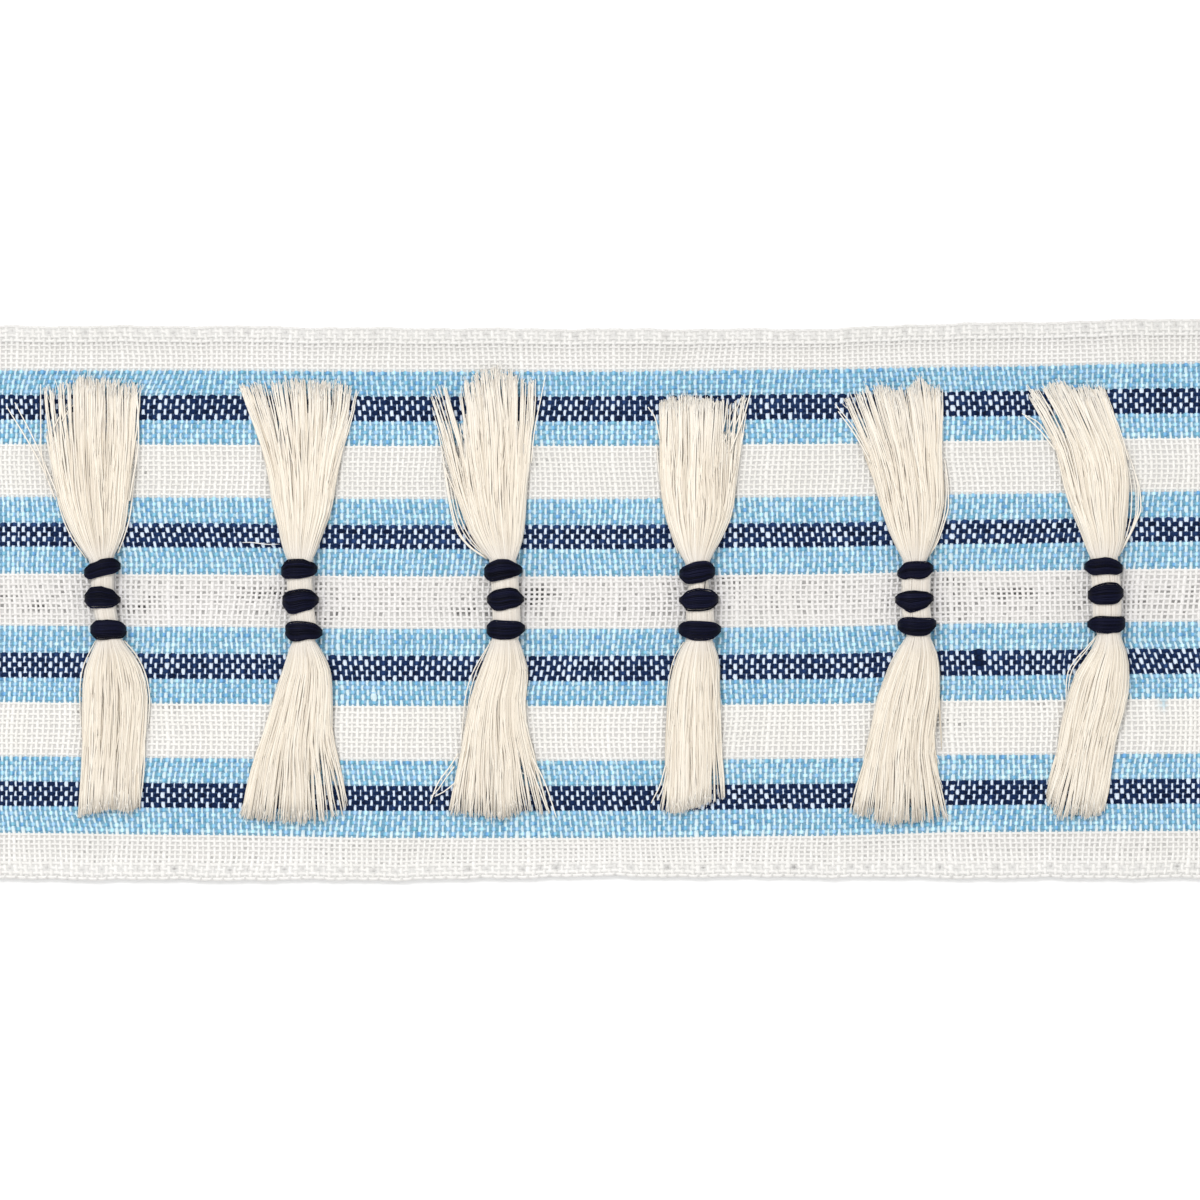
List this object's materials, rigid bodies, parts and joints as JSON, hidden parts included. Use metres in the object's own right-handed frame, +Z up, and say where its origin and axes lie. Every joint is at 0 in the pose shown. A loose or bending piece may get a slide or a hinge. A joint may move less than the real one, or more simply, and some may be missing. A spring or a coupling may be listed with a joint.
{
  "type": "eyelash fringe trim",
  "caption": "Flat striped woven trim tape with hemmed edges and fanned yarn tassels laid across it, each sewn down at its waist by satin-stitch bars; sews or glues on by its flat back.",
  "frame": {"origin": "middle of the tape's length and width, on its underside, where it lies on the surface", "axes": "+X along the tape, +Y across it towards the tassels' upper ends, +Z up from the surface it lies on"},
  "size_m": [0.2312, 0.1038, 0.0046],
  "materials": {
    "striped_cloth": "matt plain-woven cotton in blue, navy and white stripes",
    "tassel_yarn": "soft ecru cotton yarn with a low sheen",
    "stitch_thread": "navy embroidery thread in satin stitch, with a soft sheen"
  },
  "bodies": {
    "root": {"tape": "striped_cloth", "tassel_1": "tassel_yarn", "bar_1_top": "stitch_thread", "bar_1_mid": "stitch_thread", "bar_1_low": "stitch_thread", "tassel_2": "tassel_yarn", "bar_2_top": "stitch_thread", "bar_2_mid": "stitch_thread", "bar_2_low": "stitch_thread", "tassel_3": "tassel_yarn", "bar_3_top": "stitch_thread", "bar_3_mid": "stitch_thread", "bar_3_low": "stitch_thread", "tassel_4": "tassel_yarn", "bar_4_top": "stitch_thread", "bar_4_mid": "stitch_thread", "bar_4_low": "stitch_thread", "tassel_5": "tassel_yarn", "bar_5_top": "stitch_thread", "bar_5_mid": "stitch_thread", "bar_5_low": "stitch_thread", "tassel_6": "tassel_yarn", "bar_6_top": "stitch_thread", "bar_6_mid": "stitch_thread", "bar_6_low": "stitch_thread"}
  },
  "joints": []
}
